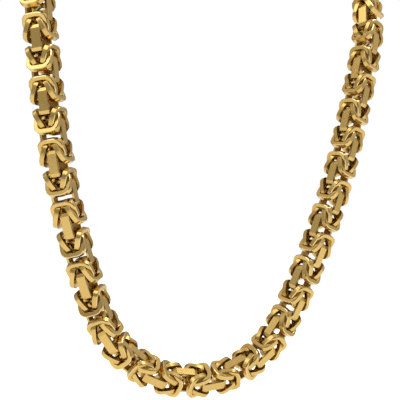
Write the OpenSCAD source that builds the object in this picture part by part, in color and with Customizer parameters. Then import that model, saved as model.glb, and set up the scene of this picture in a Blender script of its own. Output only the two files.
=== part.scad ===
// Byzantine neck chain: wide band links, each turned a quarter from the last, tied by knots of four flat ears.
// Millimetres. +Z is up, -Y is the front, and the origin is at the nape, on the neck side of the clasp.

/* [Chain] */
// Distance along the chain from one band link to the next
link_pitch = 10; // [9.9:0.05:10.5]
// Number of band links, with a knot of four ears between each two
band_links = 50; // [30:2:50]
// How far the row of links is moved round the loop from the middle of its front
row_shift = 1.9; // [0:0.1:4]
// How far a hanging knot slips down between its two band links
knot_slip = 1; // [0:0.1:1.1]
// How far the diamond cross section of the whole chain leans to one side, in degrees
row_lean = 3.5; // [0:0.5:6]

/* [Band links] */
// Width of the strip that a band link is bent from
band_width = 3.25; // [2.6:0.05:3.4]
// Thickness of that strip
band_wall = 0.85; // [0.6:0.01:1]
// Size of a band link across the chain
band_depth = 8.1; // [7.7:0.05:8.4]
// Radius of a band link's outer corners
band_corner = 1.5; // [1.2:0.1:3.2]
// Gap between the ends of two band links that follow each other
band_gap = 0.75; // [0.7:0.05:1.2]

/* [Ears] */
// Thickness of an ear's wire, seen from its flat side
ear_wall = 1.1; // [0.8:0.02:1.16]
// Depth of an ear's wire, from one flat side to the other
ear_depth = 0.92; // [0.6:0.02:0.96]
// Distance from the middle of the chain to the middle of an ear
ear_seat = 2.64; // [2.5:0.02:2.8]
// Lean of an ear, its inner end towards the middle of the chain, in degrees
ear_lean = 23.5; // [21:0.5:25]
// Distance of an ear's middle from the middle of its knot, along the chain
ear_step = 0.2; // [0.05:0.01:0.35]
// Radius of an ear's outer corners
ear_corner = 3.25; // [2.8:0.05:3.6]
// Play along the chain between an ear's inner end and the band link that it holds
ear_play = 0.26; // [0.2:0.01:0.4]
// Play between the side of an ear and the ear next to it
side_play = 0.24; // [0.2:0.01:0.4]

/* [Clasp] */
// Diameter of the plain barrel
clasp_d = 7; // [5:0.5:8]
// Length of the barrel
clasp_length = 10.5; // [8:0.5:14]
// Radius of the rounding where the barrel's ends turn in
clasp_edge = 0.8; // [0.3:0.1:1.2]
// Distance from each end of the barrel to the end of the chain
clasp_gap = 0.9; // [0.7:0.1:1.4]
// Thickness of the wire of the two eyes
eye_wire = 1.1; // [0.8:0.1:1.4]
// Radius of an eye's outer corners
eye_corner = 2; // [1.5:0.1:2.4]
// Play of a band link inside an eye
eye_play = 0.45; // [0.35:0.05:0.6]

/* [Hidden] */
corner_fn = 48;
barrel_fn = 64;

// One half of the loop, from the lowest point of the front to the nape: x, y, z and the turn of the
// chain's outer face from the front, in degrees. The other half is its mirror image.
HALF = [
    [0, -47, -171.8, 54],
    [12.2, -47, -169.9, 52],
    [23.2, -46.8, -163.3, 48],
    [31.6, -46.6, -152.8, 42],
    [38.9, -47, -136, 36],
    [45.3, -47.5, -116.8, 32.5],
    [51.2, -47.5, -94.2, 32.5],
    [56.1, -47, -68.6, 32.5],
    [59.8, -45.5, -44, 32.5],
    [60, -38.5, -24, 40],
    [53, -26.5, -9.5, 45],
    [38.5, -13, -2.5, 45],
    [20, -3.5, -0.3, 45],
    [0, 0, 0, 45],
];
// The columns of that list
X = 0;
Y = 1;
Z = 2;
TURN = 3;
// Steps of the curve between two of its points
ROUTE_STEPS = 12;
// The direction that the faces are measured from leans up from the front by this angle
FRONT_TILT = 25;
// How fast a knot's slip fades where the chain runs level
SLIP_FADE = 3;

ear_cos = cos(ear_lean);
ear_sin = sin(ear_lean);
band_length = link_pitch - band_gap;
ear_hold = band_gap / 2 + band_wall + ear_play + ear_step + knot_slip + ear_depth / 2 * ear_sin;
ear_length = 2 * (ear_wall + ear_hold / ear_cos);
ear_width = 2 * (ear_seat + ear_wall + ear_depth / 2 + side_play);

rows = len(HALF);
loop_points = concat(
    [for (i = [rows - 1:-1:0]) [-HALF[i][X], HALF[i][Y], HALF[i][Z], HALF[i][TURN]]],
    [for (i = [1:rows - 2]) HALF[i]]);
loop_size = len(loop_points);

function spline(a, b, c, d, u) =
    (2 * b + u * (c - a) + u * u * (2 * a - 5 * b + 4 * c - d) + u * u * u * (3 * b - a - 3 * c + d)) / 2;
function spot(row) = [row[X], row[Y], row[Z]];
function unit(v) = v / norm(v);

// The loop as it is drawn, and the length travelled to each of its points
drawn = [for (i = [0:loop_size], j = [0:ROUTE_STEPS - 1]) if (i < loop_size || j == 0)
    spline(loop_points[(i + loop_size - 1) % loop_size], loop_points[i % loop_size],
           loop_points[(i + 1) % loop_size], loop_points[(i + 2) % loop_size], j / ROUTE_STEPS)];
travel = [for (i = 0, s = 0; i < len(drawn);
    s = s + (i + 1 < len(drawn) ? norm(spot(drawn[i + 1]) - spot(drawn[i])) : 0), i = i + 1) s];

// The loop that is built is as long as its links and clasp, so it keeps the drawn shape at their size
loop_length = link_pitch * (band_links - 1) + band_length + 2 * clasp_gap + clasp_length;
growth = loop_length / travel[len(travel) - 1];
by_length = [for (column = [X:TURN]) [for (i = [0:len(drawn) - 1])
    [travel[i] * growth, drawn[i][column] * (column == TURN ? 1 : growth)]]];

function wrapped(s) = s - loop_length * floor(s / loop_length);
function at(s, column) = lookup(wrapped(s), by_length[column]);
function place(s) = [at(s, X), at(s, Y), at(s, Z)];
function along(s) = unit(place(s + link_pitch / 2) - place(s - link_pitch / 2));

// The chain's outer and inner faces at a place on the loop
front_way = [0, -cos(FRONT_TILT), sin(FRONT_TILT)];
function front_at(t) = unit(front_way - (front_way * t) * t);
function turn_at(s, t) = at(s, TURN) - row_lean * t[Z];
function outer_face(s) = let (t = along(s), n = front_at(t), a = turn_at(s, t)) n * cos(a) + cross(t, n) * sin(a);
function inner_face(s) = let (t = along(s), n = front_at(t), a = turn_at(s, t)) n * sin(a) - cross(t, n) * cos(a);

// Where the links stand: band link k, and the knot that follows it
function band_at(k) = loop_length / 2 + row_shift + (k - (band_links - 1) / 2) * link_pitch;
function band_face(k, s) = k % 2 == 0 ? inner_face(s) : outer_face(s);
function side_face(k, s) = k % 2 == 0 ? outer_face(s) : inner_face(s);
function slip_at(t) = t[Z] * pow(abs(t[Z]), SLIP_FADE) * knot_slip;

// The loop hangs with its centre line this far behind the neck
nape = [0, clasp_d / 2, 0];

module set_at(across, up, o) {
    out = cross(across, up);
    translate(nape) multmatrix([
        [across[X], up[X], out[X], o[X]],
        [across[Y], up[Y], out[Y], o[Y]],
        [across[Z], up[Z], out[Z], o[Z]],
        [0, 0, 0, 1]]) children();
}

module rounded(w, l, r) {
    square([w - 2 * r, l], center = true);
    square([w, l - 2 * r], center = true);
    for (x = [-1, 1], y = [-1, 1])
        translate([x * (w / 2 - r), y * (l / 2 - r)]) circle(r, $fn = corner_fn);
}

// A flat closed ring: outer width and length, thickness of its wall, height and outer corner radius
module ring(w, l, wall, h, r) {
    translate([0, 0, -h / 2]) linear_extrude(h) difference() {
        rounded(w, l, r);
        rounded(w - 2 * wall, l - 2 * wall, r - wall);
    }
}

module band_link(k) {
    s = band_at(k);
    set_at(band_face(k, s), -along(s), place(s))
        ring(band_depth, band_length, band_wall, band_width, band_corner);
}

module ear(across, up, o) {
    set_at(across, up, o) ring(ear_width, ear_length, ear_wall, ear_depth, ear_corner);
}

// Four ears: two hold the band link before the knot, and two the one after it
module knot(k) {
    s = band_at(k) + link_pitch / 2;
    t = along(s);
    a = band_face(k, s);
    b = side_face(k, s);
    o = place(s) - t * slip_at(t);
    for (side = [-1, 1]) {
        ear(b, -t * ear_cos - side * a * ear_sin, o + side * ear_seat * a + ear_step * t);
        ear(a, -t * ear_cos + side * b * ear_sin, o + side * ear_seat * b - ear_step * t);
    }
}

module chain_left() {
    color("goldenrod") for (k = [0:band_links / 2 - 1]) {
        band_link(k);
        knot(k);
    }
}

module chain_right() {
    color("goldenrod") for (k = [band_links / 2:band_links - 1]) {
        band_link(k);
        if (k < band_links - 1) knot(k);
    }
}

// The two ends of the chain, and the straight line of the clasp between them
last_s = band_at(band_links - 1);
first_s = band_at(0);
last_end = place(last_s) + along(last_s) * band_length / 2;
first_end = place(first_s) - along(first_s) * band_length / 2;
clasp_way = unit(first_end - last_end);
eye_width = band_width + 2 * eye_play + 2 * eye_wire;
eye_reach = clasp_gap + band_wall + 2 * eye_play + eye_wire;

// A barrel with rounded ends, and an eye at each end round the end of the last band link there
module clasp() {
    color("goldenrod") {
        up = unit(front_at(clasp_way));
        set_at(up, clasp_way, (last_end + first_end) / 2) rotate([-90, 0, 0]) barrel();
        eye(side_face(band_links - 1, last_s), -clasp_way, last_end);
        eye(side_face(0, first_s), clasp_way, first_end);
    }
}

module barrel() {
    r = clasp_d / 2;
    h = clasp_length / 2;
    rotate_extrude($fn = barrel_fn) {
        translate([0, -h]) square([r - clasp_edge, 2 * h]);
        translate([0, clasp_edge - h]) square([r, 2 * (h - clasp_edge)]);
        for (y = [-1, 1]) translate([r - clasp_edge, y * (h - clasp_edge)]) circle(clasp_edge, $fn = corner_fn);
    }
}

module eye(wide, out, chain_end) {
    across = unit(wide - (wide * out) * out);
    face = chain_end - out * clasp_gap;
    ring_length = eye_reach + eye_wire + clasp_edge;
    set_at(across, out, face + out * (eye_reach - ring_length / 2))
        ring(eye_width, ring_length, eye_wire, eye_wire, eye_corner);
}

chain_left();
chain_right();
clasp();
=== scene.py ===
"""A byzantine neck chain of gold-toned brass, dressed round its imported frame."""
import math

import bpy
import numpy as np
from mathutils import Matrix, Vector


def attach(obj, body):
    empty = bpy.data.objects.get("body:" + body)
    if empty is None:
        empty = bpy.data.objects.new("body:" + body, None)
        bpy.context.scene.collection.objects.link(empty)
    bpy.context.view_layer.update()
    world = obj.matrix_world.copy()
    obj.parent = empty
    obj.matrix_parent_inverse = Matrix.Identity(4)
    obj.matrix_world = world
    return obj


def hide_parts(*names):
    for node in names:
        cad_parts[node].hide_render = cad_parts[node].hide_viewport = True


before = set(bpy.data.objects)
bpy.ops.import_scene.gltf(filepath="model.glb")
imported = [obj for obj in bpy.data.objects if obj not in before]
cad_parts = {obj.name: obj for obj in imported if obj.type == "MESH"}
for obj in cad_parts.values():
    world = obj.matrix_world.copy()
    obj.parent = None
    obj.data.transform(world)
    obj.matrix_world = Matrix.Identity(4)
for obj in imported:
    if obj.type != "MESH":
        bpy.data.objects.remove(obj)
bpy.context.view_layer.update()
MM = 0.001
# The four quarters round a middle, in turn
QUARTERS = ((1, 1), (-1, 1), (-1, -1), (1, -1))


def added(name, data):
    """A new object of the scene that holds the given mesh, light or camera."""
    made = bpy.data.objects.new(name, data)
    bpy.context.collection.objects.link(made)
    return made


# The viewpoint
# The eye stands a little left of the middle and level with the lower half of the loop, close enough
# that the near strand looks wider than the far one.
VIEW_AZIMUTH = 16.15
VIEW_ELEVATION = -0.88
VIEW_ROLL = 3.58
VIEW_DISTANCE = 236.4 * MM
VIEW_AIM = Vector((-1.08, -43.5, -110.1)) * MM
PHOTO_WIDTH = 400
FOCAL_PIXELS = 691.7
SENSOR = 36.0

azimuth, elevation, roll = (math.radians(a) for a in (VIEW_AZIMUTH, VIEW_ELEVATION, VIEW_ROLL))
look = Vector((math.sin(azimuth) * math.cos(elevation), math.cos(azimuth) * math.cos(elevation),
               -math.sin(elevation)))
level = Vector((math.cos(azimuth), -math.sin(azimuth), 0))
rise = level.cross(look)
right = level * math.cos(roll) + rise * math.sin(roll)
up = rise * math.cos(roll) - level * math.sin(roll)
camera_data = bpy.data.cameras.new("camera")
camera_data.sensor_width = SENSOR
camera_data.lens = SENSOR * FOCAL_PIXELS / PHOTO_WIDTH
camera_data.clip_start = 1 * MM
camera = added("camera", camera_data)
camera.matrix_world = Matrix.Translation(VIEW_AIM - look * VIEW_DISTANCE) @ \
    Matrix((right, up, -look)).transposed().to_4x4()
bpy.context.scene.camera = camera


# Node trees
class Socket:
    """A node tree, or one output in it, which adds Math nodes when it is used in an expression."""

    def __init__(self, tree, output=None):
        self.tree = tree
        self.output = output

    def node(self, kind, settings=None, **inputs):
        """Adds a node. Its inputs are values or links, by name or by number as i0, i1 and so on."""
        made = self.tree.nodes.new(kind)
        for name, value in (settings or {}).items():
            setattr(made, name, value)
        for name, value in inputs.items():
            numbered = name[0] == "i" and name[1:].isdigit()
            socket = made.inputs[int(name[1:]) if numbered else name.replace("_", " ")]
            if isinstance(value, Socket):
                value.into(socket)
            else:
                socket.default_value = value
        return made

    def read(self, output, kind, settings=None, **inputs):
        """Adds a node and gives one of its outputs, by name or number."""
        return Socket(self.tree, self.node(kind, settings, **inputs).outputs[output])

    def into(self, socket):
        self.tree.links.new(self.output, socket)

    def math(self, operation, *values):
        inputs = {"i%d" % k: value for k, value in enumerate(values)}
        return self.read(0, "ShaderNodeMath", {"operation": operation}, **inputs)

    def mix(self, share, first, second):
        """A colour between two others."""
        return self.read(2, "ShaderNodeMix", {"data_type": "RGBA"}, Factor=share, i6=first, i7=second)

    def __add__(self, other):
        return self.math("ADD", self, other)

    def __mul__(self, other):
        return self.math("MULTIPLY", self, other)

    def __sub__(self, other):
        return self.math("SUBTRACT", self, other)

    def __rsub__(self, other):
        return self.math("SUBTRACT", other, self)

    __radd__ = __add__
    __rmul__ = __mul__


# Studio
# A white floor lies under the chain. As in a light tent for jewellery the sides, top and floor are pale,
# while the eye's own side and the far side stay dark and draw the edges of the links. The eye itself
# sees the floor and the room white, and only light and reflections see them greyer.
PAPER = (0.93, 0.93, 0.925, 1)
PAPER_ROUGHNESS = 0.9
PAPER_GLOW = (0.2046, 0.2046, 0.2035, 1)
PAPER_SEEN = (0.5766, 0.5766, 0.5735, 1)
FLOOR_Z = -230 * MM
FLOOR_SPAN = 0.9
ROOM_EYE = (0.05, 0.047, 0.043, 1)
ROOM_LEFT = (0.54, 0.52, 0.49, 1)
ROOM_RIGHT = (0.66, 0.65, 0.63, 1)
ROOM_FAR = (0.13, 0.125, 0.12, 1)
ROOM_ABOVE = (0.80, 0.79, 0.76, 1)
ROOM_SEEN = (1, 1, 1, 1)

floor_mesh = bpy.data.meshes.new("floor")
floor_mesh.from_pydata([(x * FLOOR_SPAN, y * FLOOR_SPAN, FLOOR_Z) for x, y in QUARTERS], [], [(0, 1, 2, 3)])
floor = added("floor", floor_mesh)
paper = bpy.data.materials.new("paper")
paper.use_nodes = True
paper_shader = paper.node_tree.nodes["Principled BSDF"]
paper_shader.inputs["Base Color"].default_value = PAPER
paper_shader.inputs["Roughness"].default_value = PAPER_ROUGHNESS
paper_shader.inputs["Emission Strength"].default_value = 1.0
stage = Socket(paper.node_tree)
glow = stage.mix(stage.read("Is Camera Ray", "ShaderNodeLightPath"), PAPER_GLOW, PAPER_SEEN)
glow.into(paper_shader.inputs["Emission Color"])
floor_mesh.materials.append(paper)

bpy.context.scene.view_settings.view_transform = "Standard"
world = bpy.data.worlds.new("room")
bpy.context.scene.world = world
world.use_nodes = True
world.node_tree.nodes.clear()
room = Socket(world.node_tree)
split = room.node("ShaderNodeSeparateXYZ", Vector=room.read("Generated", "ShaderNodeTexCoord"))
x_way, y_way, z_way = (Socket(world.node_tree, split.outputs[axis]) for axis in "XYZ")
sides = room.mix(x_way * 0.5 + 0.5, ROOM_LEFT, ROOM_RIGHT)
near = room.math("MAXIMUM", y_way * -1.0, 0.0)
far = room.math("MAXIMUM", y_way, 0.0)
high = room.math("MAXIMUM", z_way, 0.0)
lit = room.mix(near * near, room.mix(far * far, sides, ROOM_FAR), ROOM_EYE)
lit = room.mix(high * high, lit, ROOM_ABOVE)
seen = room.mix(room.read("Is Camera Ray", "ShaderNodeLightPath"), lit, ROOM_SEEN)
room.node("ShaderNodeOutputWorld", Surface=room.read(0, "ShaderNodeBackground", Color=seen, Strength=1.0))

# Soft boxes
# Two large ones stand over the chain, high to the right and to the left of the eye.
# The rows are the name, the place and the size in metres, and the power in watts.
BOX_AIM = Vector((0, -0.05, -0.09))
SOFT_BOXES = (
    ("right_box", (0.40, -0.15, 0.65), (0.7, 0.5), 3.6),
    ("left_box", (-0.55, -0.20, 0.55), (0.8, 0.6), 2.4))

for box_name, box_place, box_size, power in SOFT_BOXES:
    light = bpy.data.lights.new(box_name, "AREA")
    light.shape = "RECTANGLE"
    light.size, light.size_y = box_size
    light.energy = power
    soft_box = added(box_name, light)
    soft_box.location = box_place
    soft_box.rotation_euler = (BOX_AIM - Vector(box_place)).to_track_quat("-Z", "Y").to_euler()

# The run of the chain
# The loop hangs from the nape, falls nearly straight down both sides and turns at the lowest link.
# It is the same curve that the frame's links follow, so each dressed link takes its own link's place.
# The rows are x, y, z in millimetres and the turn of the outer face from the front, in degrees.
HALF = np.array([
    (0, -47, -171.8, 54), (12.2, -47, -169.9, 52), (23.2, -46.8, -163.3, 48), (31.6, -46.6, -152.8, 42),
    (38.9, -47, -136, 36), (45.3, -47.5, -116.8, 32.5), (51.2, -47.5, -94.2, 32.5),
    (56.1, -47, -68.6, 32.5), (59.8, -45.5, -44, 32.5), (60, -38.5, -24, 40), (53, -26.5, -9.5, 45),
    (38.5, -13, -2.5, 45), (20, -3.5, -0.3, 45), (0, 0, 0, 45)])
TURN = 3
ROUTE_STEPS = 12
FRONT_TILT = math.radians(25)
ROW_LEAN = 3.5
LINK_PITCH = 10
BAND_LINKS = 50
BAND_GAP = 0.75
BAND_LENGTH = LINK_PITCH - BAND_GAP
ROW_SHIFT = 1.9
CLASP_D = 7
CLASP_LENGTH = 10.5
CLASP_GAP = 0.9


def spline(a, b, c, d, u):
    return (2 * b + u * (c - a) + u ** 2 * (2 * a - 5 * b + 4 * c - d)
            + u ** 3 * (3 * b - a - 3 * c + d)) / 2


loop_points = np.vstack([HALF[::-1] * (-1, 1, 1, 1), HALF[1:-1]])
loop_size = len(loop_points)
drawn = np.array([spline(loop_points[i - 1], loop_points[i], loop_points[(i + 1) % loop_size],
                         loop_points[(i + 2) % loop_size], j / ROUTE_STEPS)
                  for i in range(loop_size) for j in range(ROUTE_STEPS)])
drawn = np.vstack([drawn, drawn[:1]])
travel = np.r_[0, np.cumsum(np.linalg.norm(np.diff(drawn[:, :TURN], axis=0), axis=1))]
# The loop is as long as its links and clasp, so the drawn curve grows to that length
loop_length = LINK_PITCH * (BAND_LINKS - 1) + BAND_LENGTH + 2 * CLASP_GAP + CLASP_LENGTH
growth = loop_length / travel[-1]
travel = travel * growth
route = drawn * (growth, growth, growth, 1)


def unit(v):
    return v / np.linalg.norm(v)


def at(s):
    return np.array([np.interp(s % loop_length, travel, column) for column in route.T])


def place(s):
    return at(s)[:TURN]


def along(s):
    return unit(place(s + LINK_PITCH / 2) - place(s - LINK_PITCH / 2))


def front_at(t):
    way = np.array((0, -math.cos(FRONT_TILT), math.sin(FRONT_TILT)))
    return unit(way - way @ t * t)


def faces(s):
    """The outward directions of the chain's outer and inner faces at a place on the loop."""
    t = along(s)
    front = front_at(t)
    side = np.cross(t, front)
    a = math.radians(at(s)[TURN] - ROW_LEAN * t[2])
    return front * math.cos(a) + side * math.sin(a), front * math.sin(a) - side * math.cos(a)


def band_at(k):
    return loop_length / 2 + ROW_SHIFT + (k - (BAND_LINKS - 1) / 2) * LINK_PITCH


# Rings
# Every link, and each eye of the clasp, is a flat strip or wire bent to a closed rounded rectangle.
# The outline of its section turns from each of these ways to the next at a corner, and some of its
# corners are cut: they are, in turn, outer front, inner front, inner back and outer back.
SECTION_WAYS = ((0, 1), (-1, 0), (0, -1), (1, 0))
CUT_FRONT = (True, True, False, False)
CUT_OUTSIDE = (True, False, False, True)
CUT_ALL = (True, True, True, True)
# How much a side is a worn edge with a painted highlight, and how much it faces in, with painted shade
WORN_HIGHLIT = (1, 0)
PLAIN = (0, 0)
INNER = (0, 1)
SIDE_LOOKS = (PLAIN, INNER, PLAIN, PLAIN)


def ring_section(wall, depth, edge, cut):
    """The section of a ring as points (outwards, sideways), and the look of the side after each."""
    points, looks = [], []
    for k, quarter in enumerate(QUARTERS):
        corner = np.array(quarter) * (wall / 2, depth / 2)
        before, after = np.array(SECTION_WAYS[k]), np.array(SECTION_WAYS[(k + 1) % 4])
        if cut[k]:
            points += [corner - edge * before, corner + edge * after]
            looks += [WORN_HIGHLIT, SIDE_LOOKS[k]]
        else:
            points.append(corner)
            looks.append(SIDE_LOOKS[k])
    return points, looks


def dressed_mesh(name, verts, polygons, smooth, looks, unrolled):
    """A mesh with what the gold finish reads: worn edges with painted highlight, inner walls with painted
    shade, and unrolled strip.
    """
    mesh = bpy.data.meshes.new(name)
    mesh.from_pydata(verts, [], polygons)
    for face in mesh.polygons:
        face.use_smooth = smooth
    for label, values in zip(("edge", "inside"), zip(*looks)):
        mesh.attributes.new(label, "FLOAT", "FACE").data.foreach_set("value", values)
    strip = mesh.uv_layers.new(name="strip")
    strip.data.foreach_set("uv", [x for loop in mesh.loops for x in unrolled[loop.vertex_index]])
    return mesh


def ring_mesh(name, width, length, wall, corners, corner_steps, section, lift=0, smooth=True):
    """A closed ring of the given outer size and outer corner radii (far end, near end), its section's
    middle lifted off its own plane by lift. Its long edges stay crisp, and smooth says whether its
    bends are shaded round."""
    points, side_looks = section
    n = len(points)
    verts, unrolled = [], []
    path_run = 0
    last = None
    for q, quarter in enumerate(QUARTERS):
        corner = corners[q // 2]
        centre = np.array(quarter) * (width / 2 - corner, length / 2 - corner)
        for step in range(corner_steps + 1):
            a = math.pi / 2 * (q + step / corner_steps)
            way = np.array((math.cos(a), math.sin(a)))
            middle = centre + way * (corner - wall / 2)
            path_run += 0 if last is None else np.linalg.norm(middle - last)
            last = middle
            girth = 0
            for k, (out, side) in enumerate(points):
                spot = middle + way * out
                verts.append((spot[0] * MM, spot[1] * MM, (side + lift) * MM))
                if k:
                    girth += math.dist(points[k - 1], points[k])
                unrolled.append((path_run, girth))
    rounds = len(verts) // n
    quads, looks = [], []
    for i in range(rounds):
        for k in range(n):
            j, m = (i + 1) % rounds, (k + 1) % n
            quads.append((i * n + k, j * n + k, j * n + m, i * n + m))
            looks.append(side_looks[k])
    mesh = dressed_mesh(name, verts, quads, smooth, looks, unrolled)
    crisp = mesh.attributes.new("sharp_edge", "BOOLEAN", "EDGE")
    crisp.data.foreach_set("value", [edge.vertices[0] // n != edge.vertices[1] // n for edge in mesh.edges])
    return mesh


# Band links
# Wide flat strips of brass bent sharply to a closed ring, gold plated and brushed along their length.
# Each stands a quarter turn from the last, and only its two long sides show. Their edges are cut.
BAND_WIDTH = 3.25
BAND_WALL = 0.85
BAND_DEPTH = 8.1
BAND_CORNER = 1.5
BAND_CORNER_STEPS = 2
BAND_EDGE = 0.16

band_mesh = ring_mesh("band_link", BAND_DEPTH, BAND_LENGTH, BAND_WALL, (BAND_CORNER, BAND_CORNER),
                      BAND_CORNER_STEPS, ring_section(BAND_WALL, BAND_WIDTH, BAND_EDGE, CUT_OUTSIDE),
                      smooth=False)

# Ears
# Flat rings of nearly square wire with worn edges, polished bright. Two of each four hold the band
# link before the knot and two the one after it, and all four hang a little low in the upright runs.
EAR_WALL = 1.1
EAR_DEPTH = 0.92
EAR_SEAT = 2.64
EAR_LEAN = math.radians(23.5)
EAR_STEP = 0.2
EAR_PLAY = 0.26
SIDE_PLAY = 0.24
KNOT_SLIP = 1
SLIP_FADE = 3
EAR_HOLD = BAND_GAP / 2 + BAND_WALL + EAR_PLAY + EAR_STEP + KNOT_SLIP + EAR_DEPTH / 2 * math.sin(EAR_LEAN)
EAR_LENGTH = 2 * (EAR_WALL + EAR_HOLD / math.cos(EAR_LEAN))
EAR_WIDTH = 2 * (EAR_SEAT + EAR_WALL + EAR_DEPTH / 2 + SIDE_PLAY)
# The frame's wire is slimmer and its corners rounder, which keeps the loose rings apart. Here both are
# nearer the real ones: the wire is grown into the ring and to both of its flat sides.
REAL_WALL = 1.5
REAL_DEPTH = 1.65
REAL_CORNERS = (2.8, 3.1)
REAL_TRIM = 0.07
REAL_LIFT = -0.1
EAR_EDGE = 0.22
EAR_CORNER_STEPS = 3

ear_mesh = ring_mesh("ear", EAR_WIDTH - 2 * REAL_TRIM, EAR_LENGTH, REAL_WALL, REAL_CORNERS,
                     EAR_CORNER_STEPS, ring_section(REAL_WALL, REAL_DEPTH, EAR_EDGE, CUT_FRONT),
                     lift=REAL_LIFT)

# Where every link stands
# A place is a matrix and a stretch along the link. The outer end of an ear hangs lower than its knot
# where the chain is upright, while its inner end keeps its hold, so the ear is drawn out or in.
EAR_DROP = 0.4
DROP_FADE = 3
NAPE = Vector((0, CLASP_D / 2, 0))


def stand_at(across, up_way, spot, outward=None):
    """The place of a link as a matrix, its front turned outward where that is given."""
    out = np.cross(across, up_way)
    if outward is not None and out @ outward < 0:
        across, out = -across, -out
    turn = Matrix(np.array((across, up_way, out)).T.tolist()).to_4x4()
    return Matrix.Translation((Vector(spot) + NAPE) * MM) @ turn


def hung_ear(across, outer_way, spot, outward):
    """The place of an ear with its outer end dropped, and its stretch."""
    drop = -EAR_DROP * outer_way[2] * abs(outer_way[2]) ** DROP_FADE
    return stand_at(across, outer_way, spot + outer_way * drop / 2, outward), 1 + drop / EAR_LENGTH


stands = {node: {"band": [], "ear": []} for node in ("chain_left", "chain_right")}
for k in range(BAND_LINKS):
    half = stands["chain_left" if k < BAND_LINKS // 2 else "chain_right"]
    s = band_at(k)
    outer, inner = faces(s)
    half["band"].append((stand_at(inner if k % 2 == 0 else outer, -along(s), place(s)), 1))
    if k == BAND_LINKS - 1:
        break
    s += LINK_PITCH / 2
    t = along(s)
    outer, inner = faces(s)
    a, b = (inner, outer) if k % 2 == 0 else (outer, inner)
    knot = place(s) - t * t[2] * abs(t[2]) ** SLIP_FADE * KNOT_SLIP
    for side in (-1, 1):
        for across, face, way in ((b, a, 1), (a, b, -1)):
            outer_way = side * face * math.sin(EAR_LEAN) + way * t * math.cos(EAR_LEAN)
            middle = knot + side * EAR_SEAT * face + way * EAR_STEP * t
            half["ear"].append(hung_ear(across, outer_way, middle, side * face))


def points_mesh(name, places):
    """A mesh of bare points that carries each link's turn and stretch."""
    mesh = bpy.data.meshes.new(name)
    mesh.from_pydata([tuple(stand.translation) for stand, _ in places], [], [])
    turn = mesh.attributes.new("turn", "QUATERNION", "POINT")
    turn.data.foreach_set("value", [x for stand, _ in places for x in stand.to_quaternion()])
    stretch = mesh.attributes.new("stretch", "FLOAT_VECTOR", "POINT")
    stretch.data.foreach_set("vector", [x for _, share in places for x in (1, share, 1)])
    return mesh


# Setting the links
# The links are closed round each other by hand, so each rocks a trace in its play and takes its own
# tone. One tree sets a ring on every point of a run, rocks it, and gives it that tone as a number.
TREE_INPUTS = {"Geometry": "NodeSocketGeometry", "Link": "NodeSocketObject", "Rock": "NodeSocketFloat",
               "Seed": "NodeSocketInt", "Finish": "NodeSocketMaterial"}
# A random value's second output is its plain number
RANDOM_NUMBER = 1


def links_tree():
    tree = bpy.data.node_groups.new("set_links", "GeometryNodeTree")
    for name, kind in TREE_INPUTS.items():
        tree.interface.new_socket(name, in_out="INPUT", socket_type=kind)
    tree.interface.new_socket("Geometry", in_out="OUTPUT", socket_type="NodeSocketGeometry")
    run = Socket(tree)
    given = run.node("NodeGroupInput")
    points, link, rock, seed, finish = (Socket(tree, given.outputs[name]) for name in TREE_INPUTS)
    ring = run.read("Geometry", "GeometryNodeObjectInfo", Object=link, As_Instance=True)
    turn = run.read("Attribute", "GeometryNodeInputNamedAttribute", {"data_type": "QUATERNION"}, Name="turn")
    stretch = run.read("Attribute", "GeometryNodeInputNamedAttribute", {"data_type": "FLOAT_VECTOR"},
                       Name="stretch")
    rings = run.read("Instances", "GeometryNodeInstanceOnPoints", Points=points, Instance=ring,
                     Rotation=turn, Scale=stretch)
    swing = run.read("Value", "FunctionNodeRandomValue", {"data_type": "FLOAT_VECTOR"},
                     Min=rock * -1.0, Max=rock, Seed=seed)
    rocked = run.read("Instances", "GeometryNodeRotateInstances", Instances=rings, Rotation=swing)
    tone = run.read(RANDOM_NUMBER, "FunctionNodeRandomValue", {"data_type": "FLOAT"}, Seed=seed)
    toned = run.read("Geometry", "GeometryNodeStoreNamedAttribute",
                     {"data_type": "FLOAT", "domain": "INSTANCE"}, Geometry=rocked, Name="tone", Value=tone)
    real = run.read("Geometry", "GeometryNodeRealizeInstances", Geometry=toned)
    finished = run.read("Geometry", "GeometryNodeSetMaterial", Geometry=real, Material=finish)
    run.node("NodeGroupOutput", Geometry=finished)
    return tree


# Gold finish
# Brass plated with a deep yellow gold. The flat strips keep fine brushed lines along their length,
# the edges are worn bright and painted paler as a painted highlight, and the walls inside the links are
# painted brown as painted shade.
GOLD = (0.69, 0.48, 0.165, 1)
GOLD_DEEP = (0.58, 0.385, 0.115, 1)
# A paler gold painted on the worn edges as a painted highlight
GOLD_HIGHLIGHT = (0.83, 0.69, 0.39, 1)
# A brown painted on the walls inside the links as painted shade
INSIDE_SHADE = (0.30, 0.16, 0.045, 1)
# Clouds of the deeper gold run over all links, and each link's tone moves it towards that gold
CLOUD_SCALE = 90.0
CLOUD_DETAIL = 2.0
DEEP_BY_CLOUD = 0.9
DEEP_BY_TONE = 0.5
DEEP_START = 0.35
# How strongly the worn edges take the painted highlight
HIGHLIGHT_AT_EDGE = 0.5
# How much painted shade the inner walls take at least, and how much more where the clouds are
INSIDE_SHADE_LEAST = 0.4
INSIDE_SHADE_BY_CLOUD = 0.6
# The brushed lines are drawn out along the strip, and start elsewhere on each link
BRUSH_ALONG = 0.15
BRUSH_ACROSS = 3.2
BRUSH_DETAIL = 3.0
BRUSH_GRAIN = 0.6
BRUSH_STARTS = (31.0, 17.0)
BRUSH_BUMP = 0.12
BRUSH_HEIGHT = 0.02 * MM
# What is added to or taken off the roughness
ROUGH_BY_BRUSH = 0.22
ROUGH_BY_TONE = 0.06
ROUGH_LESS_AT_EDGE = 0.06
ROUGH_INSIDE = 0.15
# The middle of a noise and of a link's tone
MIDDLE = 0.5


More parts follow.
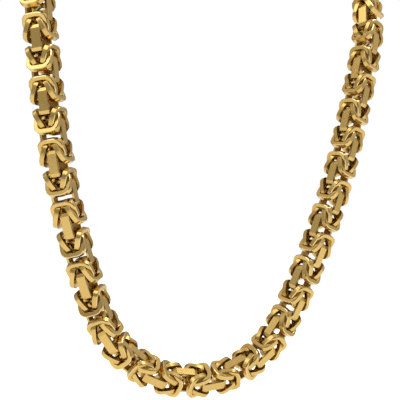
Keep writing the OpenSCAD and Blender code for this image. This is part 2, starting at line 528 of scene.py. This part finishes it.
def gold_finish(name, brushed, rough):
    """The plated gold; brushed is how strongly the lines along the strip show."""
    made = bpy.data.materials.new(name)
    made.use_nodes = True
    shader = made.node_tree.nodes["Principled BSDF"]
    gold = Socket(made.node_tree)
    edge, inside, tone = (gold.read("Fac", "ShaderNodeAttribute", {"attribute_name": label})
                          for label in ("edge", "inside", "tone"))
    strip = gold.read("UV", "ShaderNodeUVMap", {"uv_map": "strip"})
    drawn_out = gold.read("Vector", "ShaderNodeMapping", Vector=strip, Scale=(BRUSH_ALONG, BRUSH_ACROSS, 1))
    start = gold.read("Vector", "ShaderNodeCombineXYZ", X=tone * BRUSH_STARTS[0], Y=tone * BRUSH_STARTS[1])
    shifted = gold.read("Vector", "ShaderNodeVectorMath", {"operation": "ADD"}, i0=drawn_out, i1=start)
    lines = gold.read("Fac", "ShaderNodeTexNoise", Vector=shifted, Scale=1.0, Detail=BRUSH_DETAIL,
                      Roughness=BRUSH_GRAIN)
    where = gold.read("Object", "ShaderNodeTexCoord")
    cloud = gold.read("Fac", "ShaderNodeTexNoise", Vector=where, Scale=CLOUD_SCALE, Detail=CLOUD_DETAIL)
    body = gold.mix(cloud * DEEP_BY_CLOUD + tone * DEEP_BY_TONE - DEEP_START, GOLD, GOLD_DEEP)
    # The worn edges are painted a paler gold: a painted highlight
    highlit_edges = gold.mix(edge * HIGHLIGHT_AT_EDGE, body, GOLD_HIGHLIGHT)
    # The walls inside the links are painted brown: painted shade, deeper with the clouds
    shaded_inside = gold.mix(inside * (cloud * INSIDE_SHADE_BY_CLOUD + INSIDE_SHADE_LEAST), highlit_edges, INSIDE_SHADE)
    shaded_inside.into(shader.inputs["Base Color"])
    shader.inputs["Metallic"].default_value = 1.0
    roughness = (lines - MIDDLE) * (ROUGH_BY_BRUSH * brushed) + (tone - MIDDLE) * ROUGH_BY_TONE + rough \
        - edge * ROUGH_LESS_AT_EDGE + inside * ROUGH_INSIDE
    roughness.into(shader.inputs["Roughness"])
    bump = gold.read("Normal", "ShaderNodeBump", Height=lines, Strength=BRUSH_BUMP * brushed,
                     Distance=BRUSH_HEIGHT)
    bump.into(shader.inputs["Normal"])
    return made


FINISHES = {"band": gold_finish("brushed_gold", brushed=1.0, rough=0.27),
            "ear": gold_finish("bright_gold", brushed=0.3, rough=0.23)}
RINGS = {"band": band_mesh, "ear": ear_mesh}
ROCK = {"band": math.radians(0.4), "ear": math.radians(0.5)}
SEEDS = {"band": 3, "ear": 8}
set_links = links_tree()
input_keys = {item.name: item.identifier for item in set_links.interface.items_tree
              if item.in_out == "INPUT"}


def set_run(node, kind):
    """The links of one kind along one half of the chain, as one plain mesh."""
    ring = added("ring", RINGS[kind])
    run = added("run", points_mesh("run", stands[node][kind]))
    setter = run.modifiers.new("set_links", "NODES")
    setter.node_group = set_links
    values = {"Link": ring, "Rock": ROCK[kind], "Seed": SEEDS[kind], "Finish": FINISHES[kind]}
    for name, value in values.items():
        setter[input_keys[name]] = value
    mesh = bpy.data.meshes.new_from_object(run.evaluated_get(bpy.context.evaluated_depsgraph_get()))
    for done in (run, ring):
        bpy.data.objects.remove(done)
    return mesh


def joined(name, parts, node):
    """Joins the parts to one piece that stands for a node of the frame."""
    with bpy.context.temp_override(active_object=parts[0], selected_editable_objects=parts):
        bpy.ops.object.join()
    parts[0].name = name
    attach(parts[0], "root")
    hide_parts(node)


for node in stands:
    joined(node + "_links", [added(kind, set_run(node, kind)) for kind in ("band", "ear")], node)

# Clasp
# A plain barrel with rounded ends, turned from brass, polished and plated like the ears. A wire eye is
# soldered into each end and goes round the end of the last band link there.
CLASP_EDGE = 0.8
CLASP_EDGE_STEPS = 5
BARREL_SIDES = 48
EYE_WIRE = 1.1
EYE_CORNER = 2
EYE_CORNER_STEPS = 5
EYE_EDGE = 0.28
EYE_PLAY = 0.45
EYE_WIDTH = BAND_WIDTH + 2 * EYE_PLAY + 2 * EYE_WIRE
EYE_REACH = CLASP_GAP + BAND_WALL + 2 * EYE_PLAY + EYE_WIRE
EYE_LENGTH = EYE_REACH + EYE_WIRE + CLASP_EDGE

profile = [(0, -CLASP_LENGTH / 2)]
for first_turn, edge_at in ((-90, CLASP_EDGE - CLASP_LENGTH / 2), (0, CLASP_LENGTH / 2 - CLASP_EDGE)):
    for step in range(CLASP_EDGE_STEPS + 1):
        a = math.radians(first_turn + 90 * step / CLASP_EDGE_STEPS)
        profile.append((CLASP_D / 2 - CLASP_EDGE + CLASP_EDGE * math.cos(a),
                        edge_at + CLASP_EDGE * math.sin(a)))
profile.append((0, CLASP_LENGTH / 2))


def barrel_mesh(name, profile, sides):
    """The profile (radius, height) turned about the local Y axis. Its first and last points are poles."""
    verts = [(0, profile[0][1] * MM, 0), (0, profile[-1][1] * MM, 0)]
    unrolled = [(0, 0), (0, 0)]
    starts = []
    for r, h in profile[1:-1]:
        starts.append(len(verts))
        for i in range(sides):
            a = 2 * math.pi * i / sides
            verts.append((r * math.sin(a) * MM, h * MM, r * math.cos(a) * MM))
            unrolled.append((r * a, h))
    polygons = []
    for i in range(sides):
        j = (i + 1) % sides
        polygons.append((0, starts[0] + j, starts[0] + i))
        polygons.append((1, starts[-1] + i, starts[-1] + j))
        for low, high in zip(starts, starts[1:]):
            polygons.append((low + i, low + j, high + j, high + i))
    return dressed_mesh(name, verts, polygons, True, [PLAIN] * len(polygons), unrolled)


first_s, last_s = band_at(0), band_at(BAND_LINKS - 1)
first_end = place(first_s) - along(first_s) * BAND_LENGTH / 2
last_end = place(last_s) + along(last_s) * BAND_LENGTH / 2
clasp_way = unit(first_end - last_end)
barrel = barrel_mesh("barrel", profile, BARREL_SIDES)
barrel.transform(stand_at(unit(front_at(clasp_way)), clasp_way, (last_end + first_end) / 2))
clasp_meshes = [barrel]
for out, chain_end, wide in ((-clasp_way, last_end, faces(last_s)[1]),
                             (clasp_way, first_end, faces(first_s)[0])):
    eye = ring_mesh("eye", EYE_WIDTH, EYE_LENGTH, EYE_WIRE, (EYE_CORNER, EYE_CORNER), EYE_CORNER_STEPS,
                    ring_section(EYE_WIRE, EYE_WIRE, EYE_EDGE, CUT_ALL))
    middle = chain_end + out * (EYE_REACH - CLASP_GAP - EYE_LENGTH / 2)
    eye.transform(stand_at(unit(wide - wide @ out * out), out, middle))
    clasp_meshes.append(eye)
for mesh in clasp_meshes:
    mesh.materials.append(FINISHES["ear"])
joined("clasp_barrel", [added(mesh.name, mesh) for mesh in clasp_meshes], "clasp")
